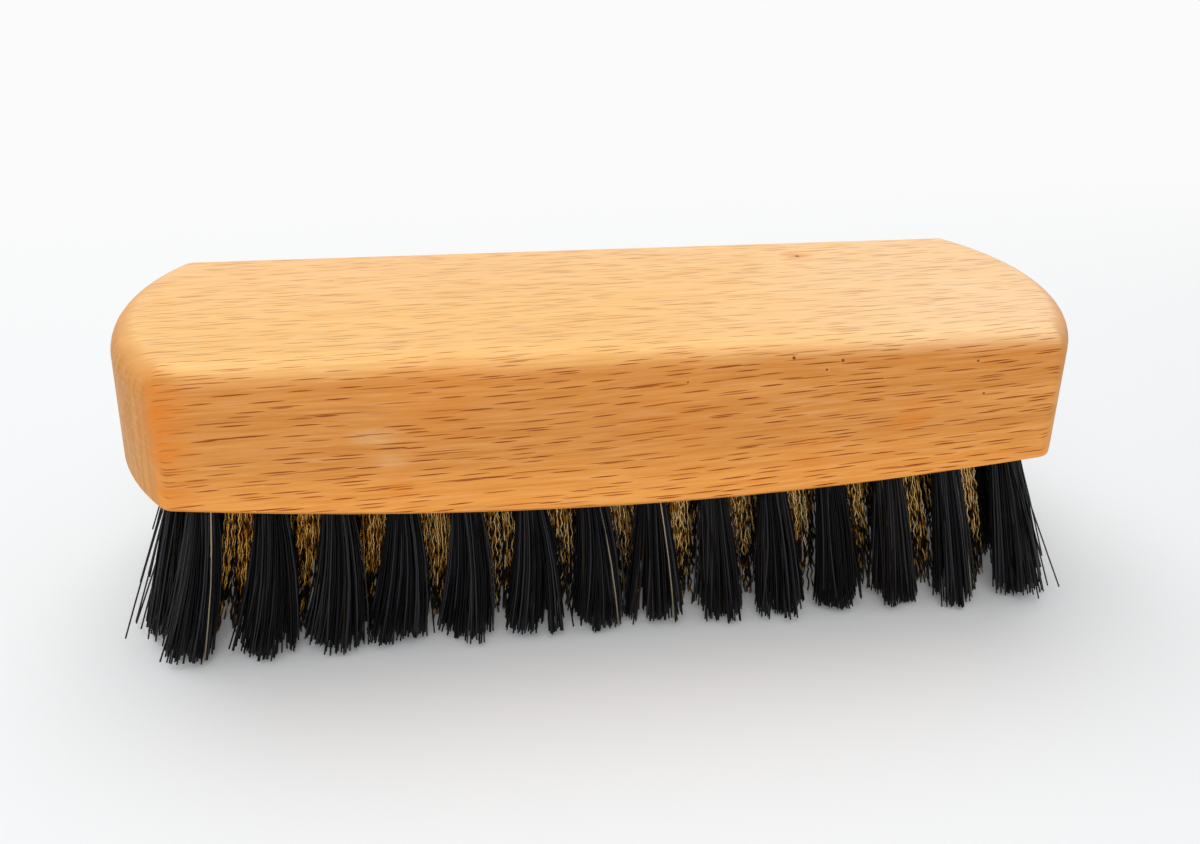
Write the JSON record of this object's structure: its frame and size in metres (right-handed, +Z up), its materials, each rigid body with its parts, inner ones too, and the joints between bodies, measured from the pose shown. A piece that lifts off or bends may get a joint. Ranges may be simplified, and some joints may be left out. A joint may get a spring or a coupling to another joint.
{
  "type": "suede_brush",
  "caption": "Suede brush: rounded beech block with a rockered underside, crimped brass wire tufts inside a border of black bristle tufts",
  "frame": {"origin": "on the table under the middle of the block, level with the trimmed bristle tips", "axes": "+X along the block towards the right end, +Y across it towards the back, +Z up from the bristle tips to the flat top"},
  "size_m": [0.1303, 0.0424, 0.0429],
  "materials": {
    "beech": "satin",
    "black_bristle": "satin",
    "brass_wire": "satin",
    "anchor_steel": "bare"
  },
  "bodies": {
    "root": {"anchor_wires": "anchor_steel", "back_brass_tuft_01": "brass_wire", "back_brass_tuft_02": "brass_wire", "back_brass_tuft_03": "brass_wire", "back_brass_tuft_04": "brass_wire", "back_brass_tuft_05": "brass_wire", "back_brass_tuft_06": "brass_wire", "back_brass_tuft_07": "brass_wire", "back_brass_tuft_08": "brass_wire", "back_brass_tuft_09": "brass_wire", "back_brass_tuft_10": "brass_wire", "back_brass_tuft_11": "brass_wire", "back_brass_tuft_12": "brass_wire", "back_brass_tuft_13": "brass_wire", "back_bristle_tuft_01": "black_bristle", "back_bristle_tuft_02": "black_bristle", "back_bristle_tuft_03": "black_bristle", "back_bristle_tuft_04": "black_bristle", "back_bristle_tuft_05": "black_bristle", "back_bristle_tuft_06": "black_bristle", "back_bristle_tuft_07": "black_bristle", "back_bristle_tuft_08": "black_bristle", "back_bristle_tuft_09": "black_bristle", "back_bristle_tuft_10": "black_bristle", "back_bristle_tuft_11": "black_bristle", "back_bristle_tuft_12": "black_bristle", "back_bristle_tuft_13": "black_bristle", "back_bristle_tuft_14": "black_bristle", "block": "beech", "front_brass_tuft_01": "brass_wire", "front_brass_tuft_02": "brass_wire", "front_brass_tuft_03": "brass_wire", "front_brass_tuft_04": "brass_wire", "front_brass_tuft_05": "brass_wire", "front_brass_tuft_06": "brass_wire", "front_brass_tuft_07": "brass_wire", "front_brass_tuft_08": "brass_wire", "front_brass_tuft_09": "brass_wire", "front_brass_tuft_10": "brass_wire", "front_brass_tuft_11": "brass_wire", "front_brass_tuft_12": "brass_wire", "front_brass_tuft_13": "brass_wire", "front_bristle_tuft_01": "black_bristle", "front_bristle_tuft_02": "black_bristle", "front_bristle_tuft_03": "black_bristle", "front_bristle_tuft_04": "black_bristle", "front_bristle_tuft_05": "black_bristle", "front_bristle_tuft_06": "black_bristle", "front_bristle_tuft_07": "black_bristle", "front_bristle_tuft_08": "black_bristle", "front_bristle_tuft_09": "black_bristle", "front_bristle_tuft_10": "black_bristle", "front_bristle_tuft_11": "black_bristle", "front_bristle_tuft_12": "black_bristle", "front_bristle_tuft_13": "black_bristle", "front_bristle_tuft_14": "black_bristle", "left_end_bristle_tufts": "black_bristle", "middle_brass_tufts": "brass_wire", "right_end_bristle_tufts": "black_bristle"}
  },
  "joints": []
}
